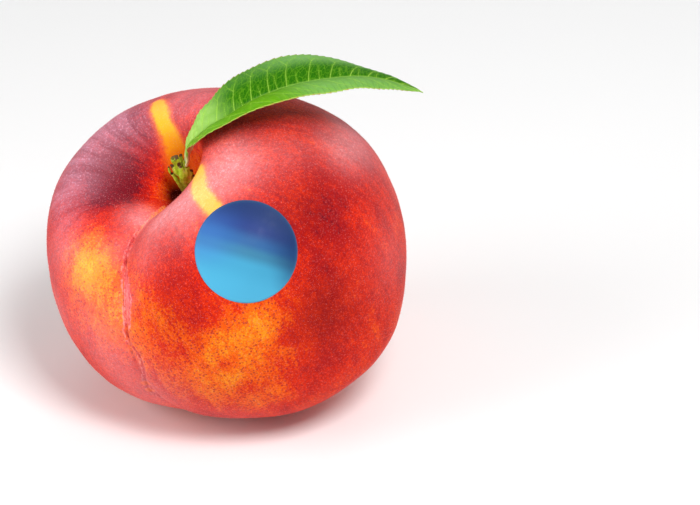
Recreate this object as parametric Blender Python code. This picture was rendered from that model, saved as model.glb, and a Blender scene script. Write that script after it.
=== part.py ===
"""A whole peach with its cut stem, one leaf and a plain round sticker, resting on a small flat spot."""
import math

import bmesh
import bpy
import numpy as np
from mathutils import Matrix, Vector
from mathutils.bvhtree import BVHTree

# Lengths are in millimetres and angles in degrees. Points are measured from the fruit's centre.
MM = 0.001
GAP = 0.3  # clear space between pieces that touch
MERGE = 0.02  # corners closer than this are one
SHARP_ANGLE = 50  # a sharper edge than this is shaded as an edge
LEAF_SHARP_ANGLE = 60
OUTSIDE = 60.0  # farther from the centre than any of the skin

# How the fruit lies: the rest spot's centre is the origin, and the fruit's axis leans
FRUIT_CENTRE = Vector((7.6, -1.8, 32.5))
AXIS_LEAN = 24.6
LEAN_TOWARDS = 201.3
SUTURE_TURN = 238.1

# The fruit's half outline, radius and height, from the pit of the cavity down to the blossom end
PROFILE = ((0.0, 16.0), (3.1, 16.9), (6.3, 21.9), (10.6, 28.5), (16.8, 32.0), (26.8, 28.5), (34.8, 18.2),
           (38.6, 4.0), (36.7, -11.3), (29.8, -22.8), (18.7, -30.0), (8.2, -33.3), (0.0, -34.2))
PROFILE_STEPS = 3
MERIDIANS = 64
MERIDIAN_CROWDING = 0.6  # how far the meridians draw together at the suture

# Uneven growth: (place along the profile, spread, millimetres, direction round the axis)
RING_SHIFTS = ((0.0, 2.2, 5.7, -86), (3.8, 1.7, 8.1, -36), (5.5, 1.4, 3.0, 22), (7.2, 1.8, 2.4, -29),
               (9.2, 1.5, 2.2, 31))
RING_OVALS = ((5.5, 1.6, 1.4, 85), (7.4, 1.8, 2.3, -7), (9.4, 1.6, 2.4, 77))
RIM_RISE = (4.0, 1.6, 2.6, 196)
RIM_NOTCH = (4.1, 1.7, 4.9)
RIM_NOTCH_HALF_ANGLE = 23.7
RIM_NOTCH_POWER = 1.4
RIM_CREST = (2.5, 1.05, 2.8, 1.0)  # the front lobe's rim stands up and away from the pit
RIM_CREST_TOWARDS = 84.0
RIM_CREST_HALF_ANGLE = 72.0
OVAL_FADE_RADIUS = 8.0

# The suture: a wide groove with a narrow crease, and the right lobe swells a little past the left one
GROOVE_DEPTH_TOP = 2.7
GROOVE_DEPTH_LOW = 2.2
GROOVE_HALF_WIDTH = 20.4
CREASE_DEPTH = 0.9
CREASE_HALF_WIDTH = 1.6
LOBE_STEP = 0.4
LOBE_STEP_EDGE = 1.5
LOBE_STEP_REACH = 12.0
LOW_FROM = -3.0  # below this height the groove is the low one
LOW_BLEND = 5.0
SUTURE_FADE_RADIUS = 14.0
SUTURE_FADE_POWER = 1.2
SUTURE_SWING = (10.5, 2.0, -5.9)  # the suture swings round a little near the blossom end

# The stem's socket in the pit of the cavity
SOCKET_RADIUS = 1.9
SOCKET_FLOOR = 13.0
SOCKET_LIP = 0.4

# The stem: a stalk with a swollen node, cut stubs, a side stalk and buds: (x, y, z, radius)
STALK = ((-11.5, -1.2, 17.5, 1.15), (-11.6, -2.0, 19.1, 1.25), (-11.6, -2.4, 20.4, 1.3),
         (-11.3, -2.3, 21.5, 0.8))
STALK_FOOT_RADIUS = 1.45
TWIGS = (
    ((-12.2, -2.3, 20.4, 0.7), (-12.9, -2.3, 21.9, 0.85), (-13.7, -2.55, 24.1, 0.98)),
    ((-11.9, -1.8, 20.6, 0.6), (-12.2, -1.1, 22.2, 0.42), (-12.5, -0.9, 23.8, 0.36)),
    ((-12.2, -2.1, 19.4, 0.5), (-13.4, -2.4, 20.4, 0.48), (-14.5, -2.6, 22.2, 0.34)),
    ((-11.5, -1.0, 14.2, 0.6), (-12.3, -1.5, 15.8, 0.5), (-13.0, -1.6, 17.3, 0.46), (-13.7, -1.6, 18.6, 0.46),
     (-14.4, -1.6, 19.6, 0.42)),
    ((-14.1, -1.6, 19.1, 0.32), (-14.8, -1.6, 19.9, 0.32), (-15.1, -1.55, 21.2, 0.3)),
    ((-12.0, -3.0, 19.6, 0.85), (-12.15, -3.3, 21.0, 0.65), (-12.45, -3.4, 22.6, 0.3)),
    ((-11.0, -2.2, 18.6, 0.55), (-10.3, -2.3, 19.8, 0.5), (-9.95, -2.35, 20.9, 0.32)),
    ((-11.0, -2.1, 17.9, 0.55), (-10.1, -2.1, 18.6, 0.45), (-9.5, -2.2, 19.5, 0.32)),
)
LIMB_SIDES = 10
LIMB_STEPS = 2

# The leaf: its stalk and midrib, and how its two halves fold
MIDRIB = ((-11.2, -2.3, 21.9), (-10.8, -2.2, 23.4), (-10.7, -2.9, 25.0), (-10.0, -4.9, 28.3),
          (-7.6, -7.4, 32.1), (-5.4, -8.3, 34.5), (-2.3, -8.3, 36.5), (4.2, -5.9, 39.7), (11.9, -1.4, 40.7),
          (20.6, 2.6, 40.4), (26.7, 5.0, 39.6), (32.3, 7.0, 37.7), (37.1, 8.3, 35.4), (40.0, 9.2, 33.9))
LEAF_STALK = 3.1
STALK_HALF_WIDTH = 0.5
STALK_STATIONS = 5
LEAF_HALF_WIDTH = 9.9
LEAF_TIP_HALF_WIDTH = 0.15
LEAF_SWELL = 1.02  # above 1 the blade is widest a little nearer its tip
LEAF_TEETH = 44
TOOTH_DEPTH = 0.4
TOOTH_FULL_WIDTH = 4.0  # the teeth are smaller where the blade is narrower than this
LEAF_THICKNESS = 0.6
KEEL_DEPTH = 0.6
KEEL_TAPER = 0.85
LEAF_FACE = Vector((0.0, -0.866, 0.5))  # the way the blade looks
BACK_HALF_LEAN = (38.0, 68.0)  # how far the back half leans away, at the base and at the tip
BACK_LEAN_FROM = 0.5  # the share of the blade where the back half starts to lean further
BACK_LEAN_SPAN = 0.42
FRONT_HALF_LEAN = (81.0, 61.0)  # how far the front half folds forward, at the base and at the tip
HALF_CURL = 12.0

# The sticker: a thin round disc on the front lobe
STICKER_TOWARDS = Vector((2.8, -35.9, 19.8))
STICKER_RADIUS = 10.6
STICKER_THICKNESS = 0.3
STICKER_RINGS = 5
STICKER_SIDES = 48


def bell(u, middle, spread):
    """A smooth bump of height 1."""
    return np.exp(-((u - middle) / spread) ** 2)


def smooth_curve(points, first, last, steps):
    """A centripetal curve through points; first and last only guide its ends."""
    knots = np.array([first, *points, last], dtype=float)
    gaps = np.sqrt(np.linalg.norm(np.diff(knots, axis=0), axis=1))
    curve = []
    for i in range(1, len(knots) - 2):
        p0, p1, p2, p3 = knots[i - 1:i + 3]
        t1 = gaps[i - 1]
        t2 = t1 + gaps[i]
        t3 = t2 + gaps[i + 1]
        t = (t1 + (t2 - t1) * np.arange(steps) / steps)[:, None]
        a1 = p0 + (p1 - p0) * t / t1
        a2 = p1 + (p2 - p1) * (t - t1) / (t2 - t1)
        a3 = p2 + (p3 - p2) * (t - t2) / (t3 - t2)
        b1 = a1 + (a2 - a1) * t / t2
        b2 = a2 + (a3 - a2) * (t - t1) / (t3 - t1)
        curve.append(b1 + (b2 - b1) * (t - t1) / (t2 - t1))
    return np.vstack([*curve, knots[-2]])


def open_curve(points, steps):
    """A smooth curve whose ends run straight on."""
    points = np.array(points, dtype=float)
    return smooth_curve(points, 2 * points[0] - points[1], 2 * points[-1] - points[-2], steps)


def material(name, colour, roughness):
    """A plain Principled material."""
    made = bpy.data.materials.new(name)
    made.use_nodes = True
    shader = made.node_tree.nodes["Principled BSDF"]
    shader.inputs["Base Color"].default_value = (*colour, 1.0)
    shader.inputs["Roughness"].default_value = roughness
    shader.inputs["Metallic"].default_value = 0.0
    return made


def add_object(name, vertices, faces, finish, parent, sharp_angle):
    """A closed mesh, given in millimetres, as a smooth-shaded object under parent."""
    mesh = bpy.data.meshes.new(name)
    mesh.from_pydata([tuple(float(c) * MM for c in v) for v in vertices], [], faces)
    bm = bmesh.new()
    bm.from_mesh(mesh)
    bmesh.ops.recalc_face_normals(bm, faces=bm.faces)
    bm.to_mesh(mesh)
    bm.free()
    mesh.materials.append(finish)
    mesh.shade_smooth()
    mesh.set_sharp_from_angle(angle=math.radians(sharp_angle))
    made = bpy.data.objects.new(name, mesh)
    bpy.context.collection.objects.link(made)
    made.parent = parent
    return made


def fruit_turn():
    """The rotation that takes the fruit from its own axes to how it lies."""
    towards = math.radians(LEAN_TOWARDS)
    lean = Matrix.Rotation(towards, 3, "Z") @ Matrix.Rotation(math.radians(AXIS_LEAN), 3, "Y")
    return lean @ Matrix.Rotation(math.radians(SUTURE_TURN) - towards, 3, "Z")


def fruit_profile():
    """Radius, height, place along the profile and outward normal of each row, socket rows first."""
    mirrored = [(-PROFILE[i][0], PROFILE[i][1]) for i in (1, -2)]
    curve = smooth_curve(PROFILE, *mirrored, PROFILE_STEPS)
    radius, height = curve.T
    place = np.arange(len(curve)) / PROFILE_STEPS
    slope = np.gradient(curve, axis=0)
    slope /= np.linalg.norm(slope, axis=1)[:, None]
    rows = np.column_stack([radius, height, place, -slope[:, 1], slope[:, 0]])
    lip_place = np.interp(SOCKET_RADIUS, radius[:PROFILE_STEPS], place[:PROFILE_STEPS])
    lip_height = np.interp(SOCKET_RADIUS, radius[:PROFILE_STEPS], height[:PROFILE_STEPS])
    socket = [(r, z, lip_place, 0, 0) for r, z in
              ((0, SOCKET_FLOOR), (SOCKET_RADIUS, SOCKET_FLOOR), (SOCKET_RADIUS, lip_height))]
    return np.vstack([socket, rows[radius > SOCKET_RADIUS + SOCKET_LIP], rows[-1]])


def suture_relief(radius, height, angle):
    """How far the skin stands in or out along its normal, from the suture's groove, crease and step."""
    arc = radius * angle
    low = 1 / (1 + np.exp((height - LOW_FROM) / LOW_BLEND))
    groove = (GROOVE_DEPTH_TOP * (1 - low) + GROOVE_DEPTH_LOW * low) * bell(arc, 0, GROOVE_HALF_WIDTH)
    crease = CREASE_DEPTH * np.exp(-np.abs(arc) / CREASE_HALF_WIDTH)
    step = LOBE_STEP * low * arc / (np.abs(arc) + LOBE_STEP_EDGE) * np.exp(-np.abs(arc) / LOBE_STEP_REACH)
    fade = np.clip(radius / SUTURE_FADE_RADIUS, 0, 1) ** SUTURE_FADE_POWER
    return fade * (step - groove - crease)


def fruit_point(rows, angle):
    """Points of the fruit in its own axes for rows of the profile and an angle from the suture."""
    radius, height, place, out, up = rows.T
    relief = suture_relief(radius, height, angle)
    round_radius = radius + out * relief
    for middle, spread, amount, towards in RING_OVALS:
        oval = amount * bell(place, middle, spread) * math.cos(2 * (angle - math.radians(towards)))
        round_radius = round_radius + np.clip(radius / OVAL_FADE_RADIUS, 0, 1) * oval
    middle, spread, depth = RIM_NOTCH
    off = abs(angle) / math.radians(RIM_NOTCH_HALF_ANGLE)
    notch = depth * bell(place, middle, spread) * math.exp(-off ** RIM_NOTCH_POWER)
    middle, spread, rise, towards = RIM_RISE
    lift = rise * bell(place, middle, spread) * math.cos(angle - math.radians(towards))
    middle, spread, rise, outward = RIM_CREST
    off = (angle - math.radians(RIM_CREST_TOWARDS)) / math.radians(RIM_CREST_HALF_ANGLE)
    crest = bell(place, middle, spread) * math.exp(-off ** 2)
    round_radius = round_radius + outward * crest
    z = height + up * relief - notch + lift + rise * crest
    middle, spread, swing = SUTURE_SWING
    turned = angle + math.radians(swing) * bell(place, middle, spread)
    x = round_radius * np.cos(turned)
    y = round_radius * np.sin(turned)
    for middle, spread, amount, towards in RING_SHIFTS:
        shift = amount * bell(place, middle, spread)
        x = x + shift * math.cos(math.radians(towards))
        y = y + shift * math.sin(math.radians(towards))
    return np.column_stack([x, y, z])


def fruit_mesh():
    """Vertices and faces of the whole fruit in its own axes."""
    rows = fruit_profile()
    share = np.arange(MERIDIANS) / MERIDIANS
    angles = 2 * np.pi * share - MERIDIAN_CROWDING * np.sin(2 * np.pi * share)
    angles = (angles + np.pi) % (2 * np.pi) - np.pi
    grid = [fruit_point(rows, angle) for angle in angles]
    last = len(rows) - 1
    vertices = [grid[0][0], grid[0][last]]
    for column in grid:
        vertices.extend(column[1:last])
    faces = []
    for i in range(MERIDIANS):
        here = 2 + i * (last - 1)
        there = 2 + (i + 1) % MERIDIANS * (last - 1)
        faces.append((0, here, there))
        faces += [(here + k, here + k + 1, there + k + 1, there + k) for k in range(last - 2)]
        faces.append((here + last - 2, 1, there + last - 2))
    return vertices, faces


def cut_rest_spot(mesh, centre, turn):
    """Cuts the flat spot that the fruit rests on, at the origin's level."""
    level = turn.transposed() @ (-centre * MM)
    up = turn.transposed() @ Vector((0, 0, 1))
    bm = bmesh.new()
    bm.from_mesh(mesh)
    bmesh.ops.bisect_plane(bm, geom=bm.verts[:] + bm.edges[:] + bm.faces[:], dist=MERGE * MM,
                           plane_co=level, plane_no=up, clear_inner=True)
    bmesh.ops.holes_fill(bm, edges=[e for e in bm.edges if e.is_boundary])
    bmesh.ops.dissolve_degenerate(bm, edges=bm.edges, dist=MERGE * MM)
    bmesh.ops.recalc_face_normals(bm, faces=bm.faces)
    bm.to_mesh(mesh)
    bm.free()


def add_fruit(centre):
    """The fruit: one solid with its cavity, suture, stem socket and rest spot."""
    vertices, faces = fruit_mesh()
    skin = material("peach_skin", (0.60, 0.09, 0.03), 0.55)
    fruit = add_object("fruit", vertices, faces, skin, centre, SHARP_ANGLE)
    cut_rest_spot(fruit.data, FRUIT_CENTRE, fruit_turn())
    fruit.data.set_sharp_from_angle(angle=math.radians(SHARP_ANGLE))
    fruit.rotation_euler = fruit_turn().to_euler()
    return fruit


def limb_mesh(limb):
    """A tapered round limb along (x, y, z, radius) points, closed at both ends."""
    path = open_curve(limb, LIMB_STEPS)
    points = path[:, :3]
    tangents = np.gradient(points, axis=0)
    side = Vector((1, 0, 0))
    vertices = []
    for point, tangent, radius in zip(points, tangents, path[:, 3].tolist()):
        along = Vector(tangent).normalized()
        side = (side - along * side.dot(along)).normalized()
        across = along.cross(side)
        for k in range(LIMB_SIDES):
            turn = 2 * math.pi * k / LIMB_SIDES
            vertices.append(Vector(point) + radius * (math.cos(turn) * side + math.sin(turn) * across))
    count = LIMB_SIDES
    faces = [tuple(range(count)), tuple(range(len(vertices) - count, len(vertices)))]
    for ring in range(len(points) - 1):
        for k in range(count):
            a = ring * count + k
            b = ring * count + (k + 1) % count
            faces.append((a, b, b + count, a + count))
    return vertices, faces


def stalk_foot():
    """The two lowest points of the stalk, in the socket and at the pit, along the fruit's axis."""
    towards = fruit_point(fruit_profile(), 0.0)[0]
    turn = fruit_turn()
    foot = [(*(turn @ Vector((towards[0], towards[1], z))), STALK_FOOT_RADIUS)
            for z in (SOCKET_FLOOR + GAP, PROFILE[0][1])]
    return foot


def add_stem(centre):
    """The stem: the stalk and its twigs joined into one solid."""
    bark = material("stem_green", (0.33, 0.40, 0.06), 0.6)
    stem = add_object("stem", *limb_mesh([*stalk_foot(), *STALK]), bark, centre, SHARP_ANGLE)
    twigs = bpy.data.collections.new("twigs")
    for k, twig in enumerate(TWIGS):
        made = add_object(f"twig_{k}", *limb_mesh(twig), bark, centre, SHARP_ANGLE)
        twigs.objects.link(made)
    union = stem.modifiers.new("join_twigs", "BOOLEAN")
    union.operation = "UNION"
    union.operand_type = "COLLECTION"
    union.collection = twigs
    union.solver = "EXACT"
    joined = bpy.data.meshes.new_from_object(stem.evaluated_get(bpy.context.evaluated_depsgraph_get()))
    stem.modifiers.clear()
    stem.data = joined
    for made in list(twigs.objects):
        bpy.data.objects.remove(made)
    bpy.data.collections.remove(twigs)
    joined.shade_smooth()
    joined.set_sharp_from_angle(angle=math.radians(SHARP_ANGLE))
    return stem


def leaf_stations():
    """Points along the leaf stalk and midrib with their tangents and shares of the blade's length."""
    fine = open_curve(MIDRIB, 24)
    along = np.concatenate([[0], np.cumsum(np.linalg.norm(np.diff(fine, axis=0), axis=1))])
    blade = along[-1] - LEAF_STALK
    share = np.concatenate([np.linspace(-LEAF_STALK / blade, 0, STALK_STATIONS, endpoint=False),
                            np.linspace(0, 1, 2 * LEAF_TEETH + 1)])
    length = LEAF_STALK + share * blade
    points = np.column_stack([np.interp(length, along, fine[:, axis]) for axis in range(3)])
    return points, np.gradient(points, axis=0), share


def half_width(share, station):
    """The blade's half width at a share of its length, with a saw-toothed margin."""
    inside = min(max(share, 0.0), 1.0)
    width = LEAF_HALF_WIDTH * math.sin(math.pi * inside ** LEAF_SWELL) if inside < 1 else 0.0
    side = 0.5 if (station - STALK_STATIONS) % 2 else -0.5
    tooth = side * TOOTH_DEPTH * min(width / TOOTH_FULL_WIDTH, 1.0)
    return max(width + tooth, STALK_HALF_WIDTH if share < 0.5 else LEAF_TIP_HALF_WIDTH)


def leaf_section(point, tangent, share, station):
    """Five points across the leaf, back margin to front margin, with a normal at each."""
    along = Vector(tangent).normalized()
    face = (LEAF_FACE - along * LEAF_FACE.dot(along)).normalized()
    back = face.cross(along)
    inside = min(max(share, 0.0), 1.0)
    ease = min(max((inside - BACK_LEAN_FROM) / BACK_LEAN_SPAN, 0.0), 1.0)
    ease = ease * ease * (3 - 2 * ease)
    back_lean = BACK_HALF_LEAN[0] + (BACK_HALF_LEAN[1] - BACK_HALF_LEAN[0]) * ease
    front_lean = FRONT_HALF_LEAN[0] + (FRONT_HALF_LEAN[1] - FRONT_HALF_LEAN[0]) * inside
    half = 0.5 * half_width(share, station)
    middle = Vector(point)
    places = [middle]
    normals = []
    for lean, way in ((back_lean, 1), (front_lean, -1)):
        walk = middle
        for bend in (-HALF_CURL, HALF_CURL):
            angle = math.radians(lean + way * bend)
            walk = walk + half * way * (math.cos(angle) * back - math.sin(angle) * face)
            normal = math.sin(angle) * back + math.cos(angle) * face
            places.append(walk)
            normals.append(normal)
    inner_back, outer_back, inner_front, outer_front = normals
    crease = (inner_back + inner_front).normalized()
    bent_back = (inner_back + outer_back).normalized()
    bent_front = (inner_front + outer_front).normalized()
    return [(places[2], outer_back), (places[1], bent_back), (places[0], crease),
            (places[3], bent_front), (places[4], outer_front)]


def leaf_mesh():
    """The leaf as one closed loft, split into triangles alike on both faces."""
    points, tangents, shares = leaf_stations()
    vertices = []
    for station, (point, tangent, share) in enumerate(zip(points, tangents, shares)):
        section = leaf_section(point, tangent, share, station)
        top = [place + normal * LEAF_THICKNESS / 2 for place, normal in section]
        low = [place - normal * LEAF_THICKNESS / 2 for place, normal in section]
        low[2] = low[2] - section[2][1] * KEEL_DEPTH * (1 - KEEL_TAPER * max(share, 0.0))
        vertices += top + low[::-1]
    ring = 10
    faces = [tuple(range(ring)), tuple(range(len(vertices) - ring, len(vertices)))]
    for station in range(len(points) - 1):
        for k in range(ring):
            a, b = station * ring + k, station * ring + (k + 1) % ring
            c, d = b + ring, a + ring
            outer_first = k < ring // 2
            faces += [(a, b, c), (a, c, d)] if outer_first else [(a, b, d), (b, c, d)]
    return vertices, faces


def add_leaf(centre):
    """The leaf with its stalk, folded along the midrib and arched along its length."""
    green = material("leaf_green", (0.13, 0.42, 0.03), 0.35)
    return add_object("leaf", *leaf_mesh(), green, centre, LEAF_SHARP_ANGLE)


def sticker_mesh(fruit):
    """A disc that follows the skin under it, a gap above it."""
    turn = fruit_turn()
    corners = [turn @ v.co / MM for v in fruit.data.vertices]
    tree = BVHTree.FromPolygons(corners, [tuple(p.vertices) for p in fruit.data.polygons])
    outward = STICKER_TOWARDS.normalized()
    level = Vector((1, 0, 0))
    level = (level - outward * level.dot(outward)).normalized()
    upright = outward.cross(level)
    vertices = []
    for height in (GAP, GAP + STICKER_THICKNESS):
        for ring in range(1, STICKER_RINGS + 1):
            for k in range(STICKER_SIDES):
                angle = 2 * math.pi * k / STICKER_SIDES
                reach = STICKER_RADIUS * ring / STICKER_RINGS
                start = outward * OUTSIDE + reach * (math.cos(angle) * level + math.sin(angle) * upright)
                place, normal, _, _ = tree.ray_cast(start, -outward)
                vertices.append(place + normal * height)
    layer = STICKER_RINGS * STICKER_SIDES
    faces = []
    for base in (0, layer):
        faces.append(tuple(base + k for k in range(STICKER_SIDES)))
        for ring in range(STICKER_RINGS - 1):
            for k in range(STICKER_SIDES):
                a = base + ring * STICKER_SIDES + k
                b = base + ring * STICKER_SIDES + (k + 1) % STICKER_SIDES
                faces.append((a, b, b + STICKER_SIDES, a + STICKER_SIDES))
    rim = layer - STICKER_SIDES
    for k in range(STICKER_SIDES):
        a = rim + k
        b = rim + (k + 1) % STICKER_SIDES
        faces.append((a, b, b + layer, a + layer))
    return vertices, faces


def add_sticker(centre, fruit):
    """The sticker, plain blue."""
    blue = material("sticker_blue", (0.03, 0.22, 0.50), 0.4)
    return add_object("sticker", *sticker_mesh(fruit), blue, centre, SHARP_ANGLE)


def main():
    for old in list(bpy.data.objects):
        bpy.data.objects.remove(old)
    centre = bpy.data.objects.new("fruit_centre", None)
    centre.location = FRUIT_CENTRE * MM
    bpy.context.collection.objects.link(centre)
    fruit = add_fruit(centre)
    add_stem(centre)
    add_leaf(centre)
    add_sticker(centre, fruit)


main()
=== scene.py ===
"""The look of a whole peach: fuzzy skin, cut stem, veined leaf and a plain blue sticker, on a pale floor."""
from math import atan2, cos, hypot, pi, radians, sin, sqrt

import bmesh
import bpy
import numpy as np
from mathutils import Matrix, Vector
from mathutils.bvhtree import BVHTree
from mathutils.kdtree import KDTree
from numpy.linalg import norm


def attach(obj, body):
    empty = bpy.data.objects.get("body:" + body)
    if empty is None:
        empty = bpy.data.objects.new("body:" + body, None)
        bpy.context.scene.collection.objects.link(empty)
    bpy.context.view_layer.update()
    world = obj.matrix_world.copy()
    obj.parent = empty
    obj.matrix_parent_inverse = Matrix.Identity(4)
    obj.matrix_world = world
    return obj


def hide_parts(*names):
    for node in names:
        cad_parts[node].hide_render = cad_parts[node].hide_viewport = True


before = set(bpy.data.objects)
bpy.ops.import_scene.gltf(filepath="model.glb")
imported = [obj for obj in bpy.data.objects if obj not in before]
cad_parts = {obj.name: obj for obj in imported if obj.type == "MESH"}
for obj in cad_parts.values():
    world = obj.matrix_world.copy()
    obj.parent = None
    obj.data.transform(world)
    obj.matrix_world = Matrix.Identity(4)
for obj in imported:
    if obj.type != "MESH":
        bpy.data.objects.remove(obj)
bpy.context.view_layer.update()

# Lengths are in millimetres, angles in degrees, and points are measured from the fruit's centre.
MM = 0.001
CENTRE = Vector((7.6, -1.8, 32.5))

# The camera stands where the photograph's did
CAMERA_PLACE = (31.7, -565.2, 356.7)
CAMERA_TILT = 60.0
CAMERA_LENS = 151.948

# The fruit's form
AXIS_LEAN = 24.6
LEAN_TOWARDS = 201.3
SUTURE_TURN = 238.1
PROFILE = (
    (0, 16), (3.1, 16.9), (6.3, 21.9), (10.6, 28.5), (16.8, 32), (26.8, 28.5), (34.8, 18.2), (38.6, 4),
    (36.7, -11.3), (29.8, -22.8), (18.7, -30), (8.2, -33.3), (0, -34.2),
)
PROFILE_STEPS = 40
ROWS = 300
COLUMNS = 300
COLUMN_CROWDING = 0.8
# Its rings: place along the profile, spread, how far they go and the angle towards which
RING_SHIFTS = (
    (0, 2.2, 5.7, -86), (3.8, 1.7, 8.1, -36), (5.5, 1.4, 3, 22), (7.2, 1.8, 2.4, -29), (9.2, 1.5, 2.2, 31),
)
RING_OVALS = (
    (5.5, 1.6, 1.4, 85), (7.4, 1.8, 2.3, -7), (9.4, 1.6, 2.4, 77),
)
RIM_RISE = (4.0, 1.6, 2.6, 196)
RIM_NOTCH = (4.1, 1.7, 4.9)  # place, spread and depth
RIM_NOTCH_HALF_ANGLE = 23.7
RIM_CREST = (2.5, 1.05, 2.8, 1.0)  # place, spread, rise and reach outward
RIM_CREST_TOWARDS = 84.0
RIM_CREST_HALF_ANGLE = 72.0
GROOVE_DEPTH_TOP = 2.7
GROOVE_DEPTH_LOW = 2.2
GROOVE_HALF_WIDTH = 20.4
CREASE_DEPTH = 0.9
CREASE_HALF_WIDTH = 1.6
LOBE_STEP = 0.4
SUTURE_SWING = (10.5, 2.0, -5.9)  # place, spread and angle
UNEVENNESS = ((0.1, 13.0, 3), (0.05, 4.5, 4))  # height and size of its lumps, and their seed
REST_ROUNDING = 0.4

# The suture's path over the skin, from the pit's edge down: x, y, z and half the width of its wrinkled band
SEAM = (
    (-15.6, -4.8, 13.3, 0.3), (-16.2, -6.4, 13.7, 0.35), (-17.1, -8.9, 14.1, 0.4),
    (-18.2, -11.6, 14.4, 0.4), (-19.3, -14, 14.1, 0.35), (-20.9, -15.5, 13.1, 0.35),
    (-22.1, -17, 12.1, 0.35), (-23.1, -19.2, 10.7, 0.35), (-23.5, -21.6, 9.8, 0.45), (-23.3, -25, 9.1, 0.7),
    (-23, -28.6, 8.2, 0.95), (-22.6, -31.2, 6.2, 1.15), (-22.6, -32.2, 3.6, 1.2), (-22.6, -32.8, 0.9, 1),
    (-22.9, -32.6, -2.1, 0.55), (-21.7, -33.6, -4.1, 0.5), (-20.4, -34.6, -5.8, 0.6),
    (-19.6, -34.4, -8.9, 0.6), (-19.4, -33.1, -12.3, 0.6), (-19.3, -31.6, -15.3, 0.6),
    (-18.6, -30.9, -17.4, 0.6), (-16.6, -30.4, -18.9, 0.55), (-14.3, -31.6, -19.9, 0.45),
)
SCAR_DEPTH = 0.25
SCARS = (  # x, y, z, width and height
    (-22.9, -32.8, -1, 0.6, 1.9), (-19.5, -31.9, -15, 1.4, 0.7), (-18.7, -31, -17.2, 1.3, 0.65),
)
ROW_CROWDS = ((17.9, 3.2, 2.6), (3.0, 4.0, 0.5))  # length along the half outline, spread, how much closer

# The yellow stripe where a twig shaded the skin: x, y, z and half width
STRIPE_FAR = (
    (-17.6, 8.1, 31.8, 1.3), (-17.4, 6.8, 31.5, 1.8), (-16.9, 5.1, 30.9, 2.1), (-15.9, 3.8, 28.6, 2.2),
    (-14.6, 3.2, 26.1, 2.3), (-13.6, 3.4, 22.9, 2.5), (-13, 3.6, 19.6, 2.6), (-12.8, 3.4, 16.8, 2.2),
)
STRIPE_NEAR = (
    (-8.3, -13.8, 27, 1.6), (-8, -15.6, 27.2, 2), (-7.8, -18.7, 26.7, 2.2), (-7.2, -21.8, 26.3, 2.1),
    (-5.8, -25, 26, 1.9), (-4.4, -27.4, 25.3, 1.9), (-2.4, -30.5, 24, 1.8), (-0.4, -34, 20.5, 1.6),
)

# Patches of the blush, a few of them painted shade: x, y, z, radius and how much redder, or yellower where it
# is less than nothing
BLUSH_SPOTS_AND_PAINTED_SHADE = (
    (-32.8, -22.3, 8, 5.5, -0.34), (-27, -27.5, 5.5, 8.5, -0.24), (-24, -31, -3, 9, -0.18),
    (-30, -18, 12, 5, -0.1), (-1, -39.5, -8, 9.5, -0.17), (6.5, -38.6, 6, 7, -0.18),
    (4, -39.5, 0, 9, -0.18), (-8, -40, 2, 7, -0.14), (-6, -37, -12, 8, -0.14), (8, -36, -14, 6, -0.12),
    (10.5, -37.8, 0.4, 3, 0.2), (-1.2, -40.2, -4.8, 2.4, 0.2), (2.4, -38.3, -12.2, 2.4, 0.2),
    (-7.4, -40.2, 6.2, 4, 0.2), (-10.8, -39.5, -2.3, 3.4, 0.14), (17, -34, -9, 7, 0.12),
    (-11, -36.5, 13.5, 5, 0.12), (-27, 4, 24, 8, 0.16), (-31, 0, 20.5, 8, 0.14), (-23, 8, 28.5, 8, 0.2),
    # The first two here are painted shade on the left lobe's slope down into the pit.
    (-24.5, -1.5, 17.3, 5, 0.36), (-28, -5, 16.8, 5, 0.26), (-34, 2, 20, 7, 0.1),
    (-18.2, -2.3, 14.5, 3.5, -0.1), (-15.5, 1, 15, 3, -0.1), (-32.5, -9, 15, 4, 0.14),
    (-19, -37, 3, 6, -0.12), (-15, -37, -5, 8, -0.1), (18, -30, -12, 7, -0.08), (19, -25, 21, 9, 0.18),
    (16, -18, 29, 6, 0.08), (25, -8, 24, 9, 0.12), (-19, -9.5, 14.5, 3, -0.2), (-11, 3, 17, 6, -0.22),
    (-8.5, 1, 22, 6, -0.14), (24, 24, -2, 15, -0.28), (2, 36, -6, 13, -0.26), (-26, 22, -8, 12, -0.24),
    (8, 12, -30, 18, -0.3), (-12, -8, -32, 14, -0.26), (30, -8, -16, 12, -0.16), (22, 14, 22, 10, 0.14),
    (-8, 24, 24, 9, 0.12),
)
BLUSH = 0.66

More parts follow.
